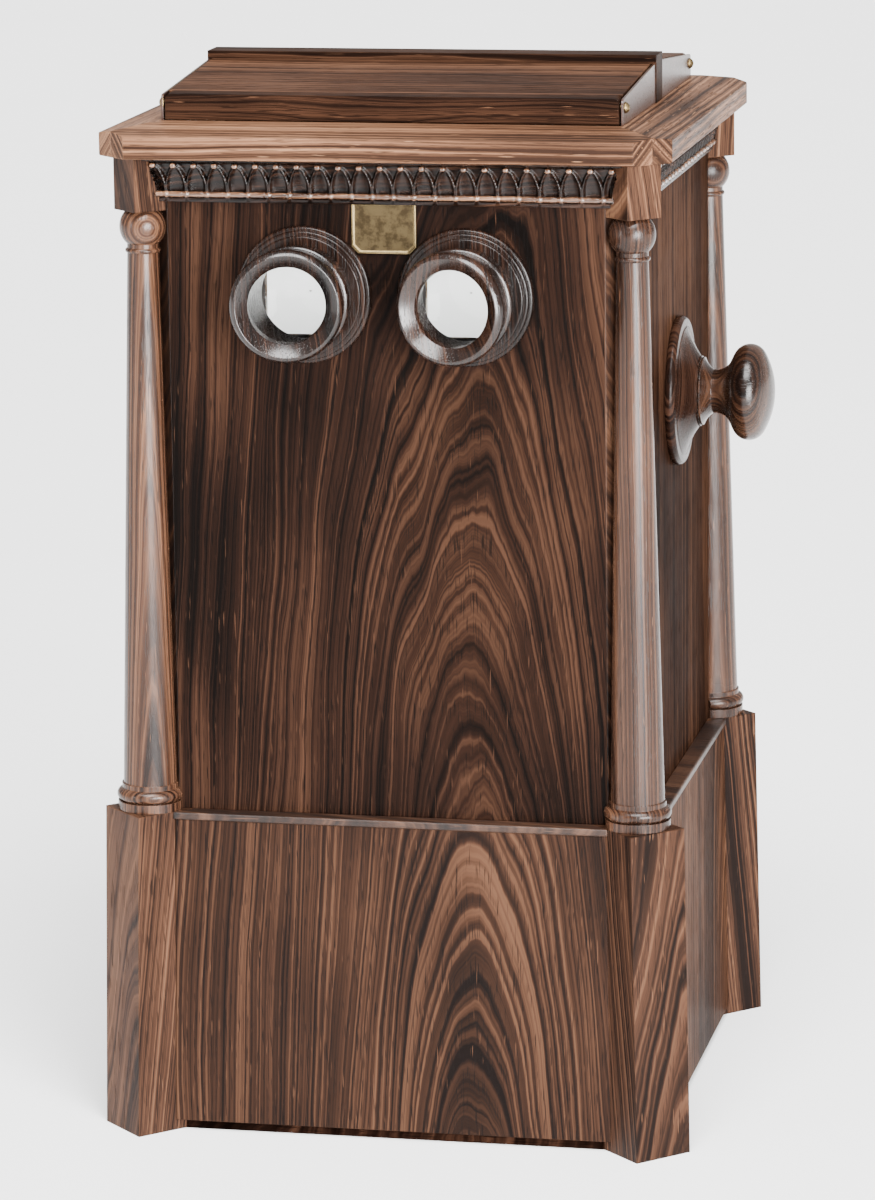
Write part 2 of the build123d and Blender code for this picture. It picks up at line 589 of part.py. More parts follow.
# ---- plate, glass and partition -----------------------------------------------------------------------
def maker_plate():
    """A blank brass plate with a raised border and cut lower corners, its top under the frieze."""
    half = PLATE_WIDTH / 2

    def face(inset):
        edge = half - inset
        foot = PLATE_FOOT_Z + inset
        return [
            (-edge, FRIEZE_FOOT_Z), (-edge, foot + PLATE_CORNER), (-edge + PLATE_CORNER, foot),
            (edge - PLATE_CORNER, foot), (edge, foot + PLATE_CORNER), (edge, FRIEZE_FOOT_Z),
        ]

    def sheet(inset, back, thick):
        outline = [(x, -CASE_FACE - back, z) for x, z in face(inset)]
        return extrude(make_face(Polyline(*outline, close=True)), thick, dir=(0, -1, 0))

    raised = sheet(0, PLATE_THICK, PLATE_BORDER_RISE)
    raised -= sheet(PLATE_BORDER, PLATE_THICK - 1, PLATE_BORDER_RISE + 2)
    return sheet(0, 0, PLATE_THICK) + raised


def rear_glass():
    half = WINDOW_HALF + GLASS_MARGIN
    low = (-half, GLASS_IN, WINDOW_LOW_Z - GLASS_MARGIN)
    return box(low, (half, GLASS_IN + GLASS_THICK, WINDOW_HIGH_Z + GLASS_MARGIN))


def glass_beads():
    """Four flat strips that hold the rear glass in its rebate."""
    half = WINDOW_HALF + GLASS_MARGIN
    low_z, high_z = WINDOW_LOW_Z - GLASS_MARGIN, WINDOW_HIGH_Z + GLASS_MARGIN
    rows = [(low_z, low_z + GLASS_MARGIN), (high_z - GLASS_MARGIN, high_z)]
    strips = [box((-half, CASE_INNER, low), (half, GLASS_IN, high)) for low, high in rows]
    upright = box((WINDOW_HALF, CASE_INNER, rows[0][1]), (half, GLASS_IN, rows[1][0]))
    return strips + [upright, mirror(upright, Plane.YZ)]


def partition():
    """The upright divider between the two lines of sight, cut away round the holders' sweep."""
    half = PARTITION_THICK / 2
    board = box((-half, -CASE_INNER, PARTITION_FOOT_Z), (half, -PARTITION_BACK, CASE_TOP_Z))
    sweep = along_x(round_bar(SWEEP_R + SWEEP_GAP, -PARTITION_THICK, PARTITION_THICK), 0, SHAFT_Z)
    return board - sweep


# ---- knob, rollers and belt ---------------------------------------------------------------------------
def knob_rosette():
    """The fixed rosette on the right panel: a rounded rim, a hollow, and a flat top for the knob."""
    top_edge = ROSETTE_HEIGHT - ROSETTE_TOP_EDGE
    outline = Curve() + [
        Line((ROSETTE_BORE_R, 0, 0), (ROSETTE_BACK_R, 0, 0)),
        ThreePointArc(
            (ROSETTE_BACK_R, 0, 0), (ROSETTE_R, 0, ROSETTE_RIM / 2),
            (ROSETTE_FRONT_R, 0, ROSETTE_RIM)),
        Polyline(
            (ROSETTE_FRONT_R, 0, ROSETTE_RIM), (ROSETTE_STEP_EASE_R, 0, ROSETTE_STEP_EASE_H),
            (ROSETTE_STEP_R, 0, ROSETTE_STEP_H)),
        ThreePointArc(
            (ROSETTE_STEP_R, 0, ROSETTE_STEP_H), (ROSETTE_HOLLOW_R, 0, ROSETTE_HOLLOW_H),
            (ROSETTE_TOP_R, 0, top_edge)),
        Polyline(
            (ROSETTE_TOP_R, 0, top_edge), (ROSETTE_TOP_R, 0, ROSETTE_HEIGHT),
            (ROSETTE_BORE_R, 0, ROSETTE_HEIGHT), (ROSETTE_BORE_R, 0, 0)),
    ]
    return along_x(turned(outline), CASE_FACE, SHAFT_Z)


def knob():
    """A one-piece turning: a foot that sweeps into the neck, and a flattened ball for the fingers.

    The ball's faces and its edge are three tangent arcs, and the throat's arc is tangent to the
    neck and to the ball's back.
    """
    edge_middle = KNOB_HEAD_R - KNOB_EDGE_R
    shortfall = KNOB_HEAD_HALF - KNOB_EDGE_R
    face_middle = (edge_middle**2 - shortfall**2) / (2 * shortfall)
    face_r = face_middle + KNOB_HEAD_HALF
    share = face_r / (face_r - KNOB_EDGE_R)
    edge_r, edge_rise = edge_middle * share, face_middle * (share - 1)
    tip = KNOB_HEAD_OUT + KNOB_HEAD_HALF
    throat_middle = KNOB_NECK_R + KNOB_THROAT_R
    drop = sqrt((face_r + KNOB_THROAT_R)**2 - throat_middle**2)
    neck_end = KNOB_HEAD_OUT + face_middle - drop
    share = face_r / (face_r + KNOB_THROAT_R)
    throat_end = (throat_middle * share, 0, KNOB_HEAD_OUT + face_middle - drop * share)
    neck = (KNOB_NECK_R, 0, neck_end)
    edge_back = (edge_r, 0, KNOB_HEAD_OUT - edge_rise)
    edge_front = (edge_r, 0, KNOB_HEAD_OUT + edge_rise)
    throat = TangentArc(neck, throat_end, tangent=(0, 0, 1))
    outline = Curve() + [
        Polyline((0, 0, 0), (KNOB_FOOT_R, 0, 0), (KNOB_FOOT_R, 0, KNOB_FOOT_EDGE)),
        ThreePointArc(
            (KNOB_FOOT_R, 0, KNOB_FOOT_EDGE), (KNOB_COVE_R, 0, KNOB_COVE_H),
            (KNOB_NECK_R, 0, KNOB_FOOT_LENGTH)),
        Line((KNOB_NECK_R, 0, KNOB_FOOT_LENGTH), neck),
        throat,
        TangentArc(throat_end, edge_back, tangent=throat % 1),
        ThreePointArc(edge_back, (KNOB_HEAD_R, 0, KNOB_HEAD_OUT), edge_front),
        TangentArc((0, 0, tip), edge_front, tangent=(1, 0, 0)),
        Line((0, 0, tip), (0, 0, 0)),
    ]
    turning = turned(outline) - round_bar(SHAFT_R, -1, KNOB_BORE)
    return along_x(turning, KNOB_FOOT_X, SHAFT_Z)


def knob_shaft():
    left_end = -CASE_FACE + BLIND_LEFT + STOP_GAP * 2
    return along_x(round_bar(SHAFT_R, left_end, KNOB_FOOT_X + KNOB_BORE), 0, SHAFT_Z)


def roller(bore_r):
    solid = round_bar(ROLLER_R, -ROLLER_HALF, ROLLER_HALF)
    return solid - round_bar(bore_r, -ROLLER_HALF - 1, ROLLER_HALF + 1)


def lower_axle():
    end = CASE_FACE - STOP_GAP * 2
    return along_x(round_bar(AXLE_R, -end, end), 0, LOWER_Z)


def bush(bore_r, wall_depth):
    """A flanged bush in the right-hand wall: its tube in the wood and its flange inside."""
    outer = bore_r + BUSH_WALL
    body = round_bar(outer, CASE_INNER, CASE_INNER + wall_depth)
    body += round_bar(outer + BUSH_FLANGE, CASE_INNER - BUSH_FLANGE_THICK, CASE_INNER)
    return body - round_bar(bore_r, CASE_INNER - 2 * BUSH_FLANGE_THICK, CASE_INNER + wall_depth + 1)


def shaft_bushes():
    bore_r = SHAFT_R + RUNNING
    right = along_x(bush(bore_r, PANEL_THICK), 0, SHAFT_Z)
    left = mirror(along_x(bush(bore_r, PANEL_THICK - BLIND_LEFT), 0, SHAFT_Z), Plane.YZ)
    return [right, left]


def axle_bushes():
    right = along_x(bush(AXLE_R + RUNNING, PANEL_THICK), 0, LOWER_Z)
    return [right, mirror(right, Plane.YZ)]


def belt_loop(radius):
    """A solid of the belt loop's outline at a radius round both rollers, one tape wide."""
    half = TAPE_WIDTH / 2
    loop = along_x(round_bar(radius, -half, half), 0, SHAFT_Z)
    loop += along_x(round_bar(radius, -half, half), 0, LOWER_Z)
    return loop + box((-half, -radius, LOWER_Z), (half, radius, SHAFT_Z))


def belt_tapes():
    tape = belt_loop(BELT_OUTER_R) - belt_loop(BELT_INNER_R)
    return [Pos(x, 0, 0) * tape for x in (-TAPE_X, TAPE_X)]


def belt_place(distance):
    """Where a holder stands on the belt, at a distance round the belt from the top of the loop.

    Its slat lies across X and it stands out along its own +Z.
    """
    quarter = BELT_INNER_R * pi / 2
    distance %= BELT_LENGTH
    if distance > BELT_LENGTH / 2:
        return Rot(0, 0, 180) * belt_place(BELT_LENGTH - distance)
    if distance <= quarter:
        return Pos(0, 0, SHAFT_Z) * Rot(degrees(distance / BELT_INNER_R), 0, 0)
    if distance <= quarter + BELT_RUN:
        return Pos(0, 0, SHAFT_Z - (distance - quarter)) * Rot(90, 0, 0)
    turn = (distance - BELT_RUN) / BELT_INNER_R
    return Pos(0, 0, LOWER_Z) * Rot(degrees(turn), 0, 0)


def holder_places():
    return [belt_place(BELT_LENGTH * number / HOLDER_COUNT) for number in range(HOLDER_COUNT)]


def belt_slats():
    half = SLAT_WIDTH / 2
    slat = box((-SLAT_HALF, -half, BELT_OUTER_R), (SLAT_HALF, half, SLAT_TOP))
    return [place * slat for place in holder_places()]


def view_holders():
    """The wire frame on each slat that a pair of views stands in."""
    top = SWEEP_R - WIRE_R
    path = FilletPolyline(
        (-WIRE_HALF, 0, SLAT_TOP), (-WIRE_HALF, 0, top), (WIRE_HALF, 0, top),
        (WIRE_HALF, 0, SLAT_TOP), radius=WIRE_CORNER)
    wire = sweep(Plane(path @ 0, z_dir=path % 0) * Circle(WIRE_R), path=path)
    return [place * wire for place in holder_places()]


# ---- the whole viewer ---------------------------------------------------------------------------------
def all_nodes():
    """Each node's name and its solid, or its list of solids."""
    nodes = {"bottom_board": bottom_board()}
    for side, turn in SIDES.items():
        panel = side_base_panel() if side in ("left", "right") else base_panel()
        nodes[f"base_panel_{side}"] = Rot(0, 0, turn) * panel
    for corner, turn in CORNERS.items():
        nodes[f"plinth_block_{corner}"] = Rot(0, 0, turn) * plinth_block()
    nodes["ledge_mouldings"] = [Rot(0, 0, turn) * ledge_moulding() for turn in SIDES.values()]
    nodes["front_panel"] = front_panel()
    nodes["rear_panel"] = rear_panel()
    nodes["left_panel"] = left_panel()
    nodes["right_panel"] = right_panel()
    nodes["corner_posts"] = [Rot(0, 0, turn) * corner_post() for turn in CORNERS.values()]
    for corner, turn in CORNERS.items():
        nodes[f"column_{corner}"] = Rot(0, 0, turn) * column()
    nodes["entablature_blocks"] = [Rot(0, 0, turn) * entablature_block() for turn in CORNERS.values()]
    for side, turn in SIDES.items():
        nodes[f"frieze_{side}"] = Rot(0, 0, turn) * frieze()
    for side, turn in SIDES.items():
        inner = CHEEK_OUTER if side in ("left", "right") else OPENING_FRONT
        nodes[f"cornice_board_{side}"] = Rot(0, 0, turn) * cornice_board(inner, CHEEK_OUTER)
    nodes["ridge_rail"] = ridge_rail()
    nodes["cheek_plates"] = cheek_plates()
    for lid, turn in (("front_lid", 0), ("rear_lid", 180)):
        nodes[f"{lid}_board"] = Rot(0, 0, turn) * lid_board()
        nodes[f"{lid}_fascia"] = Rot(0, 0, turn) * lid_fascia()
        nodes[f"{lid}_mirror"] = Rot(0, 0, turn) * mirror_plate()
        nodes[f"{lid}_pins"] = [Rot(0, 0, turn) * pin for pin in lid_pins()]
    pairs = {"eyepiece": right_eyepiece(), "eyepiece_flange": right_flange(), "lens": right_lens()}
    for name, solid in pairs.items():
        nodes[f"right_{name}"] = solid
        nodes[f"left_{name}"] = mirror(solid, Plane.YZ)
    nodes["lens_frames"] = [lens_frame(), mirror(lens_frame(), Plane.YZ)]
    nodes["maker_plate"] = maker_plate()
    nodes["partition"] = partition()
    nodes["rear_glass"] = rear_glass()
    nodes["glass_beads"] = glass_beads()
    nodes["knob_rosette"] = knob_rosette()
    nodes["knob"] = knob()
    nodes["knob_shaft"] = knob_shaft()
    nodes["upper_roller"] = along_x(roller(SHAFT_R), 0, SHAFT_Z)
    nodes["shaft_bushes"] = shaft_bushes()
    nodes["lower_roller"] = along_x(roller(AXLE_R), 0, LOWER_Z)
    nodes["lower_axle"] = lower_axle()
    nodes["axle_bushes"] = axle_bushes()
    nodes["belt_tapes"] = belt_tapes()
    nodes["belt_slats"] = belt_slats()
    nodes["view_holders"] = view_holders()
    return nodes


os.makedirs("parts", exist_ok=True)
for name, solid in all_nodes().items():
    shape = Compound(children=solid) if isinstance(solid, list) else solid
    export_step(shape, f"parts/{name}.step")
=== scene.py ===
"""The looks of a table-top stereo viewer: rosewood, a carved frieze, brass, glass and a studio."""

import logging
import math
from dataclasses import dataclass, field
from enum import Enum
from typing import Callable, Optional, Sequence, Union

import bmesh
import bpy
from mathutils import Euler, Matrix, Vector, noise


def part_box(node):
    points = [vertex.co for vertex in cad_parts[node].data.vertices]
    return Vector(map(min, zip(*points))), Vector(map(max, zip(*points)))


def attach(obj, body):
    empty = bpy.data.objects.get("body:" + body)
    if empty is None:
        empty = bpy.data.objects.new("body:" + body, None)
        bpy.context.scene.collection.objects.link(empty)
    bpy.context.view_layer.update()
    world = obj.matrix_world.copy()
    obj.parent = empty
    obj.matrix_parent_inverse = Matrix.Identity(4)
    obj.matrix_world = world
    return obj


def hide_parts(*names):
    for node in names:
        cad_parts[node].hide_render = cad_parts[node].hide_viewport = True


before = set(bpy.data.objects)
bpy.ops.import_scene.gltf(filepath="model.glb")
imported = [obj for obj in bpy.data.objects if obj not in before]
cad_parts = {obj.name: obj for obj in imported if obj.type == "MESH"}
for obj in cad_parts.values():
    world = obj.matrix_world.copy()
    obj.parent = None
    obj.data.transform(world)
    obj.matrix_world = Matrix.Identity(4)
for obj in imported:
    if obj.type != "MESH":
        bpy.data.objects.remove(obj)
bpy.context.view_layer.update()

Colour = tuple[float, float, float]
Socket = bpy.types.NodeSocket
Value = Union[float, Sequence[float], Socket]

CABINET = "cabinet"
CORNERS = ("front_right", "rear_right", "rear_left", "front_left")
MM = 0.001
log = logging.getLogger("stereo_viewer")


class Side(Enum):
    """A side of the cabinet, with how many degrees it stands round from the front."""

    FRONT = 0
    RIGHT = 90
    REAR = 180
    LEFT = 270

    @property
    def label(self) -> str:
        """The side's name as the nodes have it."""
        return self.name.lower()


class Grain(Enum):
    """Which way the grain runs: the turn, in degrees, that brings it upright."""

    UPRIGHT = (0, 0, 0)
    ACROSS = (0, -90, 0)
    THROUGH = (90, 0, 0)


class Sheet:
    """A new material's node tree, with short ways to add to it."""

    line_roughness = 0.62
    edge_starts, edge_full = 0.995, 0.90
    bevel_samples = 4

    def __init__(self, name: str) -> None:
        """Start an empty tree.

        Args:
            name: the material's name.
        """
        self.material = bpy.data.materials.new(name)
        self.material.use_nodes = True
        self.tree = self.material.node_tree
        self.tree.nodes.clear()

    def node(self, kind: str, inputs: Optional[dict] = None, **settings: object) -> bpy.types.Node:
        """Add a node.

        Args:
            kind: the shader node's type, without its prefix.
            inputs: what goes to its sockets, by name or number: another socket, or a value.
            settings: the node's own settings.

        Returns:
            The new node.
        """
        made = self.tree.nodes.new("ShaderNode" + kind)
        for key, value in settings.items():
            setattr(made, key, value)
        for key, value in (inputs or {}).items():
            if isinstance(value, Socket):
                self.tree.links.new(value, made.inputs[key])
            else:
                made.inputs[key].default_value = value
        return made

    def math(self, operation: str, a: Value, b: Value = 0.0, clamp: bool = False) -> Socket:
        """Combine two numbers.

        Args:
            operation: the Math node's operation.
            a: the first number.
            b: the second number.
            clamp: keep the result from 0 to 1.

        Returns:
            The result's socket.
        """
        return self.node("Math", {0: a, 1: b}, operation=operation, use_clamp=clamp).outputs[0]

    def vector(self, operation: str, a: Value, b: Value = (0.0, 0.0, 0.0)) -> Socket:
        """Combine two vectors, and return the resulting vector's socket."""
        return self.node("VectorMath", {0: a, 1: b}, operation=operation).outputs["Vector"]

    def noise(self, place: Value, scale: float, detail: float = 2.0, rough: float = 0.5) -> bpy.types.Node:
        """A 3-D noise at a place."""
        return self.node("TexNoise", {"Vector": place, "Scale": scale, "Detail": detail, "Roughness": rough})

    def lines(self, place: Socket, scale: float, detail: float) -> Socket:
        """An uneven pattern along one number, as a socket."""
        made = self.node("TexNoise", noise_dimensions="1D")
        self.tree.links.new(place, made.inputs["W"])
        made.inputs["Scale"].default_value = scale
        made.inputs["Detail"].default_value = detail
        made.inputs["Roughness"].default_value = self.line_roughness
        return made.outputs["Fac"]

    def ramp(self, amount: Socket, stops: Sequence[tuple[float, Colour]]) -> Socket:
        """Turn a number into a colour.

        Args:
            amount: the number.
            stops: places from 0 to 1, each with its colour.

        Returns:
            The colour's socket.
        """
        made = self.node("ValToRGB", {0: amount})
        points = made.color_ramp.elements
        while len(points) < len(stops):
            points.new(0.5)
        for point, (place, colour) in zip(points, stops):
            point.position = place
            point.color = (*colour, 1.0)
        return made.outputs["Color"]

    def step(self, amount: Socket, low: float, high: float) -> Socket:
        """A smooth step from 0 at low to 1 at high. Low may be above high."""
        made = self.node(
            "MapRange",
            {"Value": amount, "From Min": low, "From Max": high},
            interpolation_type="SMOOTHSTEP",
        )
        return made.outputs["Result"]

    def blend(self, share: Value, a: Value, b: Value, mode: str = "MIX") -> Socket:
        """Mix two colours.

        Args:
            share: how much of the second, from 0 to 1.
            a: the first colour.
            b: the second colour.
            mode: the Mix node's blend type.

        Returns:
            The mixed colour's socket.
        """
        pair = [(*c, 1.0) if isinstance(c, tuple) else c for c in (a, b)]
        made = self.node("Mix", {0: share, 6: pair[0], 7: pair[1]}, data_type="RGBA", blend_type=mode)
        return made.outputs[2]

    def here(self) -> Socket:
        """The place on the object, in metres."""
        return self.node("TexCoord").outputs["Object"]

    def eased(self, radius: float) -> Socket:
        """The surface's direction with its edges softened."""
        return self.node("Bevel", {"Radius": radius}, samples=self.bevel_samples).outputs["Normal"]

    def edge(self, eased: Socket) -> Socket:
        """1 on an edge and 0 away from it, from the softened direction."""
        flat = self.node("NewGeometry").outputs["Normal"]
        turn = self.node("VectorMath", {0: eased, 1: flat}, operation="DOT_PRODUCT").outputs["Value"]
        return self.step(turn, self.edge_starts, self.edge_full)

    def surface(self, inputs: dict) -> bpy.types.Material:
        """Close the tree with the surface's shader.

        Args:
            inputs: what goes to the shader's sockets.

        Returns:
            The finished material.
        """
        shader = self.node("BsdfPrincipled", inputs)
        self.node("OutputMaterial", {"Surface": shader.outputs[0]})
        return self.material


# Wood's patterns: how far each is drawn out along the grain (under 1 is longer), and how many to a metre.
RING_DRAWN, RING_SLOW, RING_QUICK, QUICK_SHARE = 0.22, 16.0, 120.0, 0.07
PATCH_DRAWN, PATCHES_PER_METRE = 0.45, 13.0
PORE_DRAWN, PORES_PER_METRE = 0.045, 1700.0
FLECK_DRAWN, FLECKS_PER_METRE = 0.05, 1300.0
SMEARS_PER_METRE = 28.0
SEED_STEPS = (1.7, 0.9, 2.3)
RING_SEED_STEP = 3.1
# A piece's tone: shares of the broad bands and the fine lines, how much closer the fine ones are, and
# the tones at which the deep, half-deep, body and pale colours stand.
BAND_SHARE, LINE_SHARE, LINES_PER_BAND = 0.40, 0.60, 6.0
DEEP_AT, HALF_DEEP_AT, BODY_AT, PALE_AT = 0.36, 0.45, 0.53, 0.68
HALF_DEEP = 0.6
# How the polish wears: the depth of its smears, the dullness of a pore, and the relief of the grain.
SMEAR_DEPTH, PORE_DULLNESS = 0.18, 0.15
TONE_RELIEF, GRAIN_RELIEF, GRAIN_STRENGTH = 0.5, 0.2 * MM, 0.25
COAT_ROUGHNESS, WOOD_IOR = 0.14, 1.5


@dataclass(frozen=True)
class Wood:
    """Polished wood, cut from a log whose middle lies beside the piece."""

    name: str
    deep: Colour
    body: Colour
    pale: Colour
    grain: Grain = Grain.UPRIGHT
    turn: float = 0.0
    middle: tuple[float, float, float] = (0.0, 0.0, 0.0)
    pith: tuple[float, float] = (0.02, 0.07)
    lean: float = 0.22
    streaks: float = 105.0
    waver: float = 0.016
    patches: float = 0.45
    polish: float = 0.42
    gloss: float = 0.12
    varnish: float = 0.0
    pores: float = 0.7
    flecks: float = 0.8
    worn: float = 0.5
    ease: float = 0.0009
    seed: float = 0.0

    def material(self) -> bpy.types.Material:
        """Build the wood.

        Returns:
            The finished material.
        """
        s = Sheet(self.name)
        upright = Euler([math.radians(a) for a in self.grain.value]).to_matrix()
        turned = upright @ Matrix.Rotation(math.radians(-self.turn), 3, "Z")
        local = s.vector("SUBTRACT", s.here(), self.middle)
        local = s.node("Mapping", {"Vector": local, "Rotation": turned.to_euler("XYZ")}).outputs[0]
        shifted = s.vector("ADD", local, tuple(self.seed * step for step in SEED_STEPS))
        drawn = self._along_grain(s, shifted, RING_DRAWN)
        ring = self._ring(s, local, drawn)
        broad = s.noise(self._along_grain(s, shifted, PATCH_DRAWN), PATCHES_PER_METRE, 2.0).outputs["Fac"]
        tone = self._tone(s, ring, broad)
        pore = self._pores(s, shifted, ring)
        colour = s.ramp(tone, [
            (DEEP_AT, self.deep),
            (HALF_DEEP_AT, tuple(HALF_DEEP * d + (1 - HALF_DEEP) * b for d, b in zip(self.deep, self.body))),
            (BODY_AT, self.body),
            (PALE_AT, self.pale),
        ])
        colour = s.blend(s.math("MULTIPLY", pore, self.pores), colour, self.deep)
        fleck = s.noise(self._along_grain(s, shifted, FLECK_DRAWN), FLECKS_PER_METRE, 1.0).outputs["Fac"]
        colour = s.blend(s.math("MULTIPLY", s.step(fleck, 0.70, 0.78), self.flecks), colour, self.pale)
        eased = s.eased(self.ease)
        rubbed = s.math("MULTIPLY", s.edge(eased), s.step(broad, 0.38, 0.62))
        colour = s.blend(s.math("MULTIPLY", rubbed, self.worn), colour, self.pale)
        smear = s.noise(shifted, SMEARS_PER_METRE, 3.0, 0.6).outputs["Fac"]
        rough = s.math("ADD", self.polish - SMEAR_DEPTH / 2, s.math("MULTIPLY", smear, SMEAR_DEPTH))
        rough = s.math("ADD", rough, s.math("MULTIPLY", pore, PORE_DULLNESS), clamp=True)
        height = s.math("SUBTRACT", s.math("MULTIPLY", tone, TONE_RELIEF), pore)
        bump = s.node("Bump", {
            "Strength": GRAIN_STRENGTH, "Distance": GRAIN_RELIEF, "Height": height, "Normal": eased,
        })
        return s.surface({
            "Base Color": colour,
            "Roughness": rough,
            "Normal": bump.outputs[0],
            "Specular IOR Level": self.gloss,
            "Coat Weight": self.varnish,
            "Coat Roughness": COAT_ROUGHNESS,
            "IOR": WOOD_IOR,
        })

    def _along_grain(self, s: Sheet, place: Socket, drawn: float) -> Socket:
        """Draw a pattern's place out along the grain."""
        return s.vector("MULTIPLY", place, (1.0, 1.0, drawn))

    def _ring(self, s: Sheet, local: Socket, drawn: Socket) -> Socket:
        """How far a place is from the log's wavering middle, in metres."""
        slow = s.vector("SUBTRACT", s.noise(drawn, RING_SLOW, 2.0, 0.5).outputs["Color"], (0.5, 0.5, 0.5))
        quick = s.vector("SUBTRACT", s.noise(drawn, RING_QUICK, 2.0, 0.6).outputs["Color"], (0.5, 0.5, 0.5))
        place = s.vector("ADD", local, s.vector("MULTIPLY", slow, (self.waver,) * 3))
        place = s.vector("ADD", place, s.vector("MULTIPLY", quick, (self.waver * QUICK_SHARE,) * 3))
        axes = s.node("SeparateXYZ", {0: place}).outputs
        across = s.math("SUBTRACT", axes[0], self.pith[0])
        leaning = s.math("MULTIPLY", axes[2], self.lean)
        through = s.math("ADD", s.math("SUBTRACT", axes[1], self.pith[1]), leaning)
        squares = s.math("ADD", s.math("POWER", s.math("ABSOLUTE", across), 2.0),
                         s.math("POWER", s.math("ABSOLUTE", through), 2.0))
        return s.math("SQRT", squares)

    def _tone(self, s: Sheet, ring: Socket, broad: Socket) -> Socket:
        """How light the wood is at a place, about 0.3 to 0.7."""
        shifted = s.math("ADD", ring, self.seed * RING_SEED_STEP)
        bands = s.math("MULTIPLY", s.lines(shifted, self.streaks, 3.0), BAND_SHARE)
        fine = s.math("MULTIPLY", s.lines(shifted, self.streaks * LINES_PER_BAND, 3.0), LINE_SHARE)
        patch = s.math("MULTIPLY", s.math("SUBTRACT", broad, 0.5), self.patches)
        return s.math("ADD", s.math("ADD", bands, fine), patch)

    def _pores(self, s: Sheet, shifted: Socket, ring: Socket) -> Socket:
        """1 in the short dark pores that run along the grain, and 0 between them."""
        specks = s.noise(self._along_grain(s, shifted, PORE_DRAWN), PORES_PER_METRE, 1.0, 0.5).outputs["Fac"]
        rows = s.lines(s.math("ADD", ring, self.seed), self.streaks * 5.0, 1.0)
        return s.step(s.math("ADD", specks, s.math("MULTIPLY", rows, 0.25)), 0.72, 0.80)


@dataclass(frozen=True)
class Metal:
    """Bare, aged metal with fine rubbing marks."""

    name: str
    bright: Colour
    dull: Colour
    rough: float = 0.34
    rubbed_along: tuple[float, float, float] = (1.0, 1.0, 0.06)
    cleaned: float = 1.0
    ease: float = 0.0003

    def material(self) -> bpy.types.Material:
        """Build the metal.

        Returns:
            The finished material.
        """
        s = Sheet(self.name)
        here = s.here()
        stain = s.noise(here, 160.0, 4.0, 0.65).outputs["Fac"]
        marks = s.noise(s.vector("MULTIPLY", here, self.rubbed_along), 2600.0, 2.0, 0.6).outputs["Fac"]
        eased = s.eased(self.ease)
        unstained = s.math("MULTIPLY", s.step(stain, 0.36, 0.60), self.cleaned)
        clean = s.math("ADD", unstained, s.edge(eased), clamp=True)
        colour = s.blend(clean, self.dull, self.bright)
        rough = s.math("SUBTRACT", s.math("ADD", self.rough + 0.10, s.math("MULTIPLY", marks, 0.12)),
                       s.math("MULTIPLY", clean, 0.16), clamp=True)
        bump = s.node("Bump", {"Strength": 0.25, "Distance": 0.00008, "Height": marks, "Normal": eased})
        return s.surface({
            "Base Color": colour, "Metallic": 1.0, "Roughness": rough, "Normal": bump.outputs[0],
        })


@dataclass(frozen=True)
class Glass:
    """Clear or ground glass with a little dust."""

    name: str
    rough: float
    dust: float

    def material(self) -> bpy.types.Material:
        """Build the glass.

        Returns:
            The finished material.
        """
        s = Sheet(self.name)
        specks = s.noise(s.here(), 900.0, 3.0, 0.6).outputs["Fac"]
        dusty = s.math("MULTIPLY", s.step(specks, 0.55, 0.75), self.dust)
        rough = s.math("ADD", self.rough, dusty, clamp=True)
        colour = s.blend(s.step(specks, 0.5, 0.8), (0.98, 0.99, 0.98), (0.93, 0.95, 0.93))
        return s.surface({
            "Base Color": colour,
            "Roughness": rough,
            "Transmission Weight": 1.0,
            "IOR": 1.5,
        })


@dataclass(frozen=True)
class Silvering:
    """A mirror with a few foxed spots."""

    name: str = "silvered_glass"
    spot: Colour = (0.25, 0.22, 0.18)

    def material(self) -> bpy.types.Material:
        """Build the mirror.

        Returns:
            The finished material.
        """
        s = Sheet(self.name)
        here = s.here()
        foxing = s.step(s.noise(here, 60.0, 5.0, 0.7).outputs["Fac"], 0.66, 0.74)
        haze = s.noise(here, 25.0, 2.0).outputs["Fac"]
        colour = s.blend(foxing, (0.84, 0.86, 0.85), self.spot)
        rough = s.math("ADD", s.math("MULTIPLY", haze, 0.05), s.math("MULTIPLY", foxing, 0.35), clamp=True)
        return s.surface({"Base Color": colour, "Metallic": 1.0, "Roughness": rough})


@dataclass(frozen=True)
class Linen:
    """Plain-woven tape."""

    name: str = "linen_tape"
    thread: float = 0.0009
    light: Colour = (0.58, 0.50, 0.37)
    dark: Colour = (0.30, 0.24, 0.16)

    def material(self) -> bpy.types.Material:
        """Build the weave.

        Returns:
            The finished material.
        """
        s = Sheet(self.name)
        here = s.here()
        pitch = 1.0 / (self.thread * 20.0 / math.tau * 2.0)
        waves = [
            s.node("TexWave", {"Vector": here, "Scale": pitch, "Distortion": 0.6, "Detail": 1.0},
                   bands_direction=axis).outputs["Fac"]
            for axis in ("X", "Z")
        ]
        weave = s.math("MULTIPLY", waves[0], waves[1])
        soil = s.noise(here, 40.0, 3.0).outputs["Fac"]
        colour = s.blend(s.math("ADD", s.math("MULTIPLY", weave, 0.6), s.math("MULTIPLY", soil, 0.4)),
                         self.dark, self.light)
        bump = s.node("Bump", {"Strength": 0.5, "Distance": 0.0002, "Height": weave})
        return s.surface({
            "Base Color": colour, "Roughness": 0.9, "Sheen Weight": 0.3, "Normal": bump.outputs[0],
        })


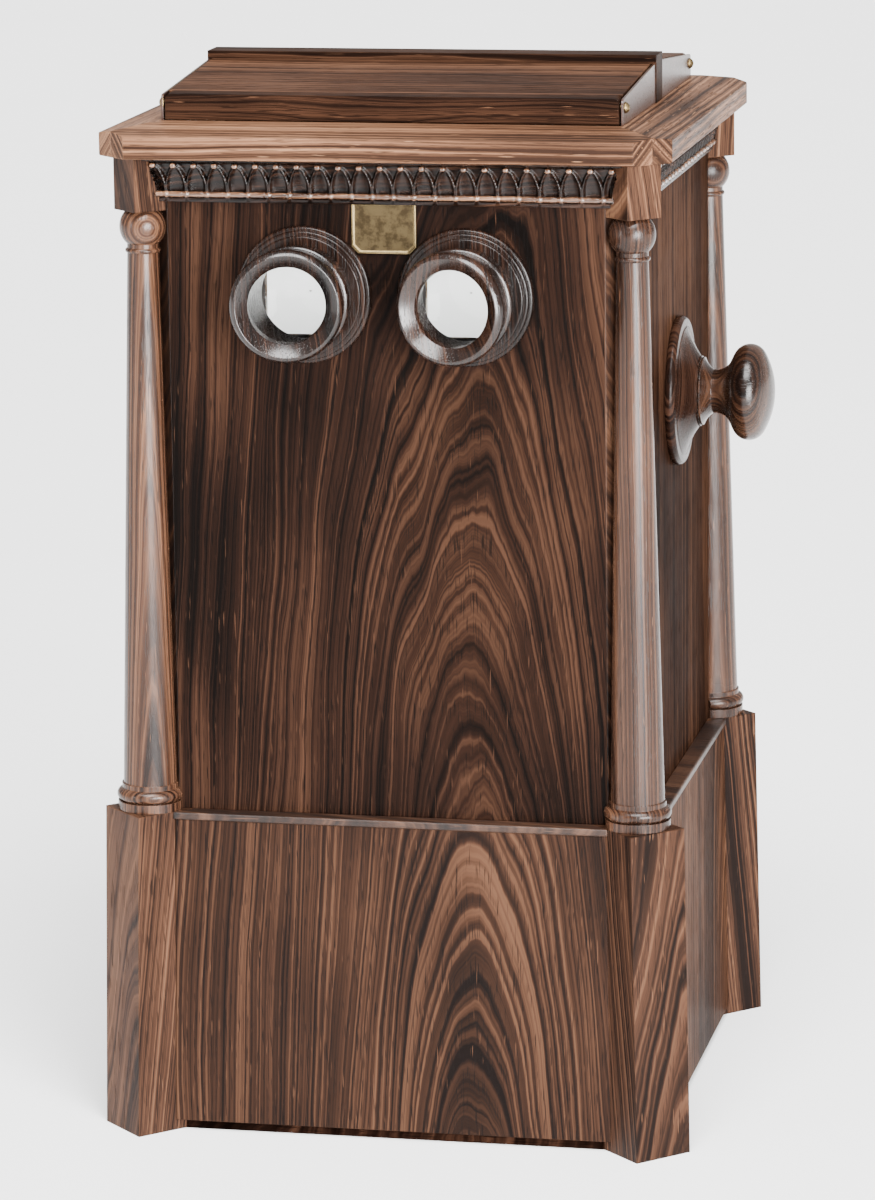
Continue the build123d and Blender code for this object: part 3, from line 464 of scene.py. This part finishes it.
@dataclass(frozen=True)
class Japanning:
    """Dark japanned sheet metal, rubbed at its edges."""

    name: str = "japanned_brass"
    coat: Colour = (0.030, 0.013, 0.009)
    bare: Colour = (0.45, 0.31, 0.14)

    def material(self) -> bpy.types.Material:
        """Build the japanning.

        Returns:
            The finished material.
        """
        s = Sheet(self.name)
        here = s.here()
        orange = s.noise(here, 700.0, 2.0).outputs["Fac"]
        eased = s.eased(0.0004)
        rubbed = s.math("MULTIPLY", s.edge(eased), s.step(s.noise(here, 90.0, 3.0).outputs["Fac"], 0.45, 0.6))
        rough = s.math("ADD", 0.22, s.math("MULTIPLY", orange, 0.16))
        bump = s.node("Bump", {"Strength": 0.2, "Distance": 0.0001, "Height": orange, "Normal": eased})
        return s.surface({
            "Base Color": s.blend(rubbed, self.coat, self.bare),
            "Metallic": rubbed,
            "Roughness": rough,
            "Normal": bump.outputs[0],
        })


def three_tones(deep: Colour, body: Colour, pale: Colour) -> dict[str, Colour]:
    """A wood's three colours, by the names of Wood's fields."""
    return {"deep": deep, "body": body, "pale": pale}


ROSEWOOD = three_tones((0.0026, 0.0013, 0.0010), (0.0190, 0.0082, 0.0046), (0.0570, 0.0265, 0.0145))
DARK_ROSEWOOD = three_tones((0.0014, 0.0008, 0.0006), (0.0098, 0.0042, 0.0026), (0.0340, 0.0155, 0.0088))
WARM_ROSEWOOD = three_tones((0.0060, 0.0028, 0.0019), (0.0370, 0.0160, 0.0088), (0.0980, 0.0460, 0.0250))
EDGE_ROSEWOOD = three_tones((0.0045, 0.0021, 0.0014), (0.0360, 0.0158, 0.0088), (0.0950, 0.0450, 0.0245))
MID_ROSEWOOD = three_tones((0.0100, 0.0046, 0.0030), (0.0680, 0.0310, 0.0170), (0.1700, 0.0850, 0.0460))
SAPWOOD = three_tones((0.0170, 0.0078, 0.0046), (0.1150, 0.0540, 0.0290), (0.2450, 0.1300, 0.0720))
EBONISED = three_tones((0.0015, 0.0008, 0.0006), (0.0085, 0.0038, 0.0025), (0.0280, 0.0125, 0.0075))
INNER = three_tones((0.0800, 0.0450, 0.0220), (0.2600, 0.1650, 0.0900), (0.4000, 0.2800, 0.1650))


def dress(node: str, finish: bpy.types.Material) -> None:
    """Give a node of the cabinet its finish.

    Args:
        node: the node's name.
        finish: its material.
    """
    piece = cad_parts[node]
    if not piece.material_slots:
        piece.data.materials.append(finish)
    for slot in piece.material_slots:
        slot.material = finish
    log.info("dressed %s in %s", node, finish.name)


def middle_of(node: str) -> tuple[float, float, float]:
    """The middle of a node's box."""
    low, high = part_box(node)
    return tuple((low + high) / 2)


def wooden(node: str, tones: dict, **cut: object) -> None:
    """Give a node a wood finish of its own, cut afresh from the log.

    Args:
        node: the node's name.
        tones: the wood's three colours.
        cut: how the wood was cut and polished, as the fields of Wood.
    """
    wood = Wood(name=f"{node}_wood", middle=middle_of(node), **tones, **cut)
    dress(node, wood.material())


@dataclass
class Base:
    """The base: four panels, their ledge, four corner blocks and the bottom board."""

    panel_pith: dict = field(default_factory=lambda: {
        Side.FRONT: (0.040, 0.030),
        Side.RIGHT: (0.11, 0.03),
        Side.REAR: (-0.04, 0.06),
        Side.LEFT: (-0.1, 0.02),
    })

    def build(self) -> None:
        """Dress every piece of the base."""
        for number, (side, corner) in enumerate(zip(Side, CORNERS)):
            # Painted light: the left and right panels are one wood with the front and rear, but they are
            # given a lighter tone, which paints on them the light they get less of from the lamps. Their
            # gloss is also almost nil.
            turned_away = side in (Side.RIGHT, Side.LEFT)
            wooden(f"base_panel_{side.label}", EDGE_ROSEWOOD if turned_away else ROSEWOOD, turn=side.value,
                   pith=self.panel_pith[side], lean=-0.17, seed=1.3 + number,
                   gloss=0.005 if turned_away else 0.06)
            wooden(f"plinth_block_{corner}", EDGE_ROSEWOOD, turn=side.value + 45, pith=(0.02, 0.05),
                   seed=5.1 + number, lean=-0.12, gloss=0.06)
        wooden("ledge_mouldings", ROSEWOOD, grain=Grain.ACROSS, seed=9.4, worn=1.0, gloss=0.3)
        wooden("bottom_board", EBONISED, grain=Grain.ACROSS, seed=9.9, gloss=0.0)


@dataclass
class UpperCase:
    """The upper case: four panels, the corner posts, the columns and the blocks over them."""

    def build(self) -> None:
        """Dress every piece of the upper case."""
        # Painted light: the four panels are one wood, but the front is given a darker tone than the right,
        # rear and left ones, so the lighter sides carry painted light and sheen. The right and left panels
        # have almost no gloss.
        wooden("front_panel", DARK_ROSEWOOD, pith=(0.040, 0.046), lean=-0.14, seed=0.4, gloss=0.03,
               waver=0.026, patches=0.55)
        wooden("right_panel", ROSEWOOD, turn=90, pith=(0.15, 0.05), lean=0.05, seed=2.2, gloss=0.001)
        wooden("rear_panel", ROSEWOOD, turn=180, pith=(-0.03, 0.055), lean=-0.22, seed=3.7, gloss=0.08)
        wooden("left_panel", ROSEWOOD, turn=270, pith=(-0.12, 0.04), lean=0.08, seed=4.9, gloss=0.002)
        wooden("corner_posts", ROSEWOOD, seed=6.3)
        for number, corner in enumerate(CORNERS):
            wooden(f"column_{corner}", WARM_ROSEWOOD, turn=number * 90, pith=(0.09, 0.04), seed=7.7 + number,
                   lean=0.0, polish=0.24, gloss=0.22, streaks=140.0, ease=0.0004, waver=0.008)
        wooden("entablature_blocks", MID_ROSEWOOD, seed=8.8, worn=0.8, gloss=0.05, pith=(0.3, 0.1))


@dataclass
class Friezes:
    """The carved friezes: an arcade of scooped leaves with a bead over each, on a ringed rod."""

    leaves: int = 23
    columns: int = 22
    rows: int = 26
    foot: float = 1.9 * MM
    rod_up: float = 3.6 * MM
    rod_out: float = 2.2 * MM
    rod_radius: float = 1.35 * MM
    ring_swell: float = 0.38 * MM
    lip: float = 1.6 * MM
    cove_foot: float = 2.3 * MM
    scoop: float = 2.3 * MM
    spandrel: float = 3.4 * MM
    ridge: float = 0.55 * MM
    springing: float = 0.36
    crown: float = 0.86
    leaf_half: float = 0.84
    bead_up: float = 0.885
    bead: float = 1.35 * MM
    bead_proud: float = 0.5 * MM
    bead_square: float = 0.7
    bead_shape: tuple[float, float] = (0.7, 0.8)
    cove_curve: float = 1.7
    cove_top_in: float = 0.2 * MM
    arch_curve: float = 1.7
    arch_round: float = 0.62
    ridge_width: float = 0.085
    scoop_round: float = 0.7
    thinnest: float = 0.4 * MM
    shoulder: float = 0.20
    shoulder_rise: float = 2.2
    fade_from: float = 0.93
    ring_width: float = 0.07
    neck_at: float = 0.16
    neck_width: float = 0.05
    neck_depth: float = 0.16 * MM
    wobble: float = 0.10 * MM
    wobble_pitch: float = 2.3 * MM
    rod_sides: int = 14

    def build(self) -> None:
        """Carve, place and dress the four friezes."""
        wood = Wood(name="carved_frieze_wood", grain=Grain.ACROSS, seed=2.9, ease=0.0003, worn=0.9,
                    polish=0.28, gloss=0.2, **DARK_ROSEWOOD).material()
        # The rod and beads take a far lighter, glossier wood than the carved cove: partly rubbed wear, partly
        # a painted highlight on the proud parts.
        rubbed = Wood(name="rubbed_and_highlit_rod_wood", grain=Grain.ACROSS, seed=3.3, ease=0.0003, polish=0.2,
                      gloss=0.5, varnish=0.5, **SAPWOOD).material()
        low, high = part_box("frieze_front")
        self.face, self.reach = -high.y, -low.y
        self.low_z, self.high_z = low.z, high.z
        self.end = high.x
        for side in Side:
            carving = self._piece(f"frieze_{side.label}_arcade", self._arcade, side, wood)
            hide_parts(f"frieze_{side.label}")
            self._piece(f"frieze_{side.label}_rod", self._rod, side, rubbed)
            self._piece(f"frieze_{side.label}_beads", self._beads, side, rubbed)

    def _piece(self, name: str, carve: Callable[[bmesh.types.BMesh], None], side: Side,
               finish: bpy.types.Material) -> bpy.types.Object:
        """Carve one piece of a frieze on its side of the cabinet.

        Args:
            name: the piece's name.
            carve: what fills the mesh, as it stands on the front.
            side: the side it is for.
            finish: its material.

        Returns:
            The new object, riding on the cabinet.
        """
        mesh = bmesh.new()
        carve(mesh)
        bmesh.ops.rotate(mesh, verts=mesh.verts, cent=(0, 0, 0),
                         matrix=Matrix.Rotation(math.radians(side.value), 3, "Z"))
        bmesh.ops.recalc_face_normals(mesh, faces=mesh.faces)
        return finished(name, mesh, finish, CABINET)

    def _mitred(self, x: float, out: float) -> float:
        """Keep a place between the slanting faces of the blocks at the frieze's ends."""
        limit = self.end - (self.reach - self.face - out)
        return max(-limit, min(limit, x))

    def _arcade(self, mesh: bmesh.types.BMesh) -> None:
        """Fill a mesh with the cove and its carved leaves, as a closed strip along the front."""
        sections = []
        count = self.leaves * self.columns
        for number in range(count + 1):
            x = self.end * (2 * number / count - 1)
            phase = (number / self.columns) % 1.0
            section = [(0.0, self.high_z), (0.0, self.low_z), (self.rod_out, self.low_z),
                       (self.rod_out, self.low_z + self.foot)]
            for row in range(self.rows + 1):
                share = row / self.rows
                section.append((self._out(2 * phase - 1, share), self._height(share)))
            top = self.reach - self.face
            section += [(top, self.high_z - self.lip), (top, self.high_z)]
            points = [(self._mitred(x, out), -self.face - out, z) for out, z in section]
            sections.append([mesh.verts.new(point) for point in points])
        loft(mesh, sections)

    def _height(self, share: float) -> float:
        """Height of a place in the cove, from its foot behind the rod to the lip."""
        low = self.low_z + self.foot
        return low + (self.high_z - self.lip - low) * share

    def _out(self, across: float, share: float) -> float:
        """How far the carving stands out from the case.

        Args:
            across: place in one leaf, from -1 to 1.
            share: place in the cove's height, from 0 to 1.

        Returns:
            The distance, in metres.
        """
        top = self.reach - self.face - self.cove_top_in
        cove = self.cove_foot + (top - self.cove_foot) * share**self.cove_curve
        rise = (share - self.springing) / (self.crown - self.springing)
        if rise >= 1.0:
            half = 0.0
        elif rise <= 0.0:
            half = self.leaf_half
        else:
            half = self.leaf_half * (1 - rise**self.arch_curve) ** self.arch_round
        side = abs(across)
        ridge = self.ridge * math.exp(-(((side - half) / self.ridge_width) ** 2))
        if side < half:
            scooped = self.scoop * math.sqrt(1 - (side / half) ** 2) ** self.scoop_round
            return max(self.thinnest, cove + ridge - scooped)
        spare = min(1.0, (side - half) / self.shoulder)
        risen = max(0.0, min(1.0, rise * self.shoulder_rise))
        cut = self.spandrel * spare * spare * (3 - 2 * spare) * risen
        if share > self.fade_from:
            cut *= max(0.0, (1.0 - share) / (1.0 - self.fade_from))
        return cove + ridge - cut

    def _rod(self, mesh: bmesh.types.BMesh) -> None:
        """Fill a mesh with the rod under the leaves, swelling to a ring between them."""
        sections = []
        steps = self.leaves * self.columns
        for number in range(steps + 1):
            x = self.end * (2 * number / steps - 1)
            phase = (number / self.columns) % 1.0
            gap = min(phase, 1 - phase)
            radius = self.rod_radius + self.ring_swell * math.exp(-((gap / self.ring_width) ** 2))
            radius -= self.neck_depth * math.exp(-(((gap - self.neck_at) / self.neck_width) ** 2))
            radius += self.wobble * noise.noise(Vector((x / self.wobble_pitch, 0.0, 0.0)))
            ring = []
            for turn in range(self.rod_sides):
                angle = math.tau * turn / self.rod_sides
                out = self.rod_out + radius * math.cos(angle)
                z = self.low_z + self.rod_up + radius * math.sin(angle)
                ring.append(mesh.verts.new((self._mitred(x, out), -self.face - out, z)))
            sections.append(ring)
        loft(mesh, sections)

    def _beads(self, mesh: bmesh.types.BMesh) -> None:
        """Fill a mesh with the squarish bead over each leaf."""
        pitch = 2 * self.end / self.leaves
        z = self._height(self.bead_up)
        out = self._out(0.0, self.bead_up) + self.bead_proud
        deep, tall = self.bead_shape
        for leaf in range(self.leaves):
            made = bmesh.ops.create_uvsphere(mesh, u_segments=12, v_segments=8, radius=self.bead)
            x = -self.end + pitch * (leaf + 0.5)
            for vert in made["verts"]:
                square = [math.copysign(abs(c / self.bead) ** self.bead_square, c) * self.bead
                          for c in vert.co]
                vert.co = Vector((x + square[0], -self.face - out + square[1] * deep, z + square[2] * tall))


def loft(mesh: bmesh.types.BMesh, sections: list[list[bmesh.types.BMVert]]) -> None:
    """Close a skin over a row of closed sections that have the same number of points.

    Args:
        mesh: the mesh that holds the points.
        sections: the sections, in order.
    """
    count = len(sections[0])
    for first, second in zip(sections, sections[1:]):
        for i in range(count):
            j = (i + 1) % count
            mesh.faces.new((first[i], first[j], second[j], second[i]))
    mesh.faces.new(sections[0])
    mesh.faces.new(list(reversed(sections[-1])))


def finished(name: str, mesh: bmesh.types.BMesh, finish: bpy.types.Material, body: str) -> bpy.types.Object:
    """Turn a mesh into a smooth piece that rides on a body.

    Args:
        name: the piece's name.
        mesh: its mesh, which is freed.
        finish: its material.
        body: the body it rides on.

    Returns:
        The new object.
    """
    data = bpy.data.meshes.new(name)
    mesh.to_mesh(data)
    mesh.free()
    data.shade_smooth()
    data.materials.append(finish)
    piece = bpy.data.objects.new(name, data)
    bpy.context.scene.collection.objects.link(piece)
    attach(piece, body)
    log.info("made %s with %d faces", name, len(data.polygons))
    return piece


@dataclass
class Top:
    """The cornice, the ridge rail, the two lids with their mirrors, and the cheek plates."""

    def build(self) -> None:
        """Dress every piece above the case."""
        for number, side in enumerate(Side):
            wooden(f"cornice_board_{side.label}", SAPWOOD, grain=Grain.ACROSS, turn=side.value,
                   pith=(0.20, 0.25), seed=11.2 + number, lean=0.0, streaks=150.0, worn=0.8, gloss=0.05,
                   waver=0.008)
        lid = {"grain": Grain.ACROSS, "pith": (0.14, 0.20), "lean": 0.0, "streaks": 130.0, "gloss": 0.015}
        wooden("ridge_rail", ROSEWOOD, seed=12.0, **lid)
        for number, name in enumerate(("front_lid", "rear_lid")):
            wooden(f"{name}_board", EDGE_ROSEWOOD, seed=13.1 + number, **lid)
            wooden(f"{name}_fascia", EDGE_ROSEWOOD, seed=14.6 + number, **lid)
            dress(f"{name}_mirror", Silvering().material())
        dress("cheek_plates", Japanning().material())


@dataclass
class Optics:
    """The eyepieces, lenses, their frames, the partition and the rear glass."""

    def build(self) -> None:
        """Dress every piece on the eyes' line of sight."""
        for number, eye in enumerate(("right", "left")):
            wooden(f"{eye}_eyepiece", EBONISED, grain=Grain.UPRIGHT, seed=15.2 + number, polish=0.20,
                   gloss=0.42, streaks=140.0, ease=0.0005, pith=(0.13, 0.03), flecks=0.1)
            wooden(f"{eye}_eyepiece_flange", EBONISED, seed=17.0 + number, polish=0.24, gloss=0.20,
                   streaks=140.0, ease=0.0004, pith=(0.13, 0.03), flecks=0.1)
            dress(f"{eye}_lens", Glass(f"{eye}_lens_glass", 0.0, 0.04).material())
        dress("rear_glass", Glass("ground_glass", 0.42, 0.10).material())
        for number, node in enumerate(("lens_frames", "partition", "glass_beads")):
            wooden(node, INNER, seed=18.5 + number, gloss=0.1)


@dataclass
class Drive:
    """The knob, its rosette and shaft, the rollers and their axle, and the belt with its holders."""

    def build(self) -> None:
        """Dress the knob, the rosette, what turns inside, and the belt."""
        turning = {"grain": Grain.THROUGH, "turn": 90, "polish": 0.20, "gloss": 0.28,
                   "streaks": 120.0, "ease": 0.0004, "pith": (0.09, 0.03), "lean": 0.0, "flecks": 0.2}
        wooden("knob", ROSEWOOD, seed=19.4, **turning)
        wooden("knob_rosette", EBONISED, seed=20.1, **turning | {"gloss": 0.06})
        for number, node in enumerate(("upper_roller", "lower_roller", "belt_slats")):
            wooden(node, INNER, grain=Grain.ACROSS, seed=21.0 + number, gloss=0.1)
        dress("belt_tapes", Linen().material())
        steel = Metal("drawn_steel", (0.52, 0.52, 0.52), (0.25, 0.24, 0.23), 0.30,
                      (0.06, 1.0, 1.0)).material()
        for node in ("knob_shaft", "lower_axle", "view_holders"):
            dress(node, steel)


@dataclass
class Brasswork:
    """The blank plate, the bushes and the lids' pins."""

    def build(self) -> None:
        """Dress every brass piece."""
        plain = Metal("aged_brass", (0.20, 0.14, 0.065), (0.06, 0.04, 0.02), 0.42).material()
        for node in ("front_lid_pins", "rear_lid_pins", "shaft_bushes", "axle_bushes"):
            dress(node, plain)
        dress("maker_plate", Metal("plate_brass", (0.46, 0.34, 0.16), (0.034, 0.024, 0.013), 0.50,
                                   (0.05, 1.0, 1.0), 0.10, 0.0009).material())


@dataclass(frozen=True)
class Lamp:
    """A soft rectangular lamp that looks at the viewer."""

    name: str
    place: tuple[float, float, float]
    width: float
    height: float
    watts: float
    aim: tuple[float, float, float] = (0.0, 0.0, 0.28)

    def hang(self) -> None:
        """Add the lamp to the scene."""
        data = bpy.data.lights.new(self.name, "AREA")
        data.shape = "RECTANGLE"
        data.size, data.size_y, data.energy = self.width, self.height, self.watts
        lamp = bpy.data.objects.new(self.name, data)
        lamp.location = self.place
        lamp.rotation_euler = (Vector(self.aim) - Vector(self.place)).to_track_quat("-Z", "Y").to_euler()
        lamp.visible_camera = False
        bpy.context.scene.collection.objects.link(lamp)


@dataclass
class Studio:
    """A pale floor, soft lamps, a faint surround and the camera."""

    floor_size: float = 40.0
    floor_tone: Colour = (0.86, 0.86, 0.86)
    surround: float = 0.75
    sky_round: float = 14.0
    sky_up: float = 58.0
    sky_spread: float = 40.0
    sky_strength: float = 11.5
    camera_place: tuple[float, float, float] = (0.49662, -2.40208, 0.76241)
    camera_aim: tuple[float, float, float] = (-0.00067, 0.0, 0.28686)
    camera_roll: float = 0.6658
    lens: float = 152.82
    sensor: float = 36.0
    shift: float = -0.0833
    sees_from: float = 0.05
    sees_to: float = 60.0
    lamps: tuple[Lamp, ...] = (
        Lamp("key", (1.70, -2.25, 0.66), 1.3, 1.3, 290.0),
        Lamp("strip", (0.98, -2.42, 0.52), 0.16, 1.0, 40.0),
        Lamp("fill", (-1.9, -1.9, 0.8), 0.3, 1.0, 20.0),
    )

    def build(self) -> None:
        """Set up everything around the viewer."""
        self._floor()
        self._surround()
        self._skylight()
        for lamp in self.lamps:
            lamp.hang()
        self._camera()

    def _skylight(self) -> None:
        """One broad far light from above, that lights the whole floor evenly."""
        data = bpy.data.lights.new("skylight", "SUN")
        data.energy, data.angle = self.sky_strength, math.radians(self.sky_spread)
        lamp = bpy.data.objects.new("skylight", data)
        lamp.rotation_euler = (math.radians(90.0 - self.sky_up), 0.0, math.radians(self.sky_round))
        bpy.context.scene.collection.objects.link(lamp)

    def _floor(self) -> None:
        """A broad pale floor with a faint mottle."""
        s = Sheet("pale_floor_paper")
        mottle = s.noise(s.here(), 3.0, 3.0).outputs["Fac"]
        shade = tuple(c * 0.97 for c in self.floor_tone)
        finish = s.surface({"Base Color": s.blend(mottle, self.floor_tone, shade), "Roughness": 0.85})
        mesh = bmesh.new()
        bmesh.ops.create_grid(mesh, x_segments=8, y_segments=8, size=self.floor_size / 2)
        data = bpy.data.meshes.new("studio_floor")
        mesh.to_mesh(data)
        mesh.free()
        data.materials.append(finish)
        floor = bpy.data.objects.new("studio_floor", data)
        bpy.context.scene.collection.objects.link(floor)

    def _surround(self) -> None:
        """Pale, even light from all around."""
        world = bpy.data.worlds.new("pale_surround")
        world.use_nodes = True
        background = world.node_tree.nodes["Background"]
        background.inputs["Color"].default_value = (1.0, 1.0, 1.0, 1.0)
        background.inputs["Strength"].default_value = self.surround
        bpy.context.scene.world = world

    def _camera(self) -> None:
        """The camera, a little above and to the right of the front."""
        data = bpy.data.cameras.new("camera")
        data.lens, data.sensor_width = self.lens, self.sensor
        data.shift_y = self.shift
        data.clip_start, data.clip_end = self.sees_from, self.sees_to
        camera = bpy.data.objects.new("camera", data)
        look = Vector(self.camera_aim) - Vector(self.camera_place)
        rolled = Matrix.Rotation(math.radians(-self.camera_roll), 3, "Z")
        turn = look.to_track_quat("-Z", "Y").to_matrix() @ rolled
        camera.matrix_world = Matrix.Translation(self.camera_place) @ turn.to_4x4()
        bpy.context.scene.collection.objects.link(camera)
        bpy.context.scene.camera = camera


def main() -> None:
    """Build the viewer's looks and the studio around it, in order."""
    logging.basicConfig(level=logging.INFO, format="%(name)s: %(message)s")
    for section in (Base(), UpperCase(), Friezes(), Top(), Optics(), Drive(), Brasswork(), Studio()):
        log.info("building %s", type(section).__name__)
        section.build()


if __name__ == "__main__":
    main()
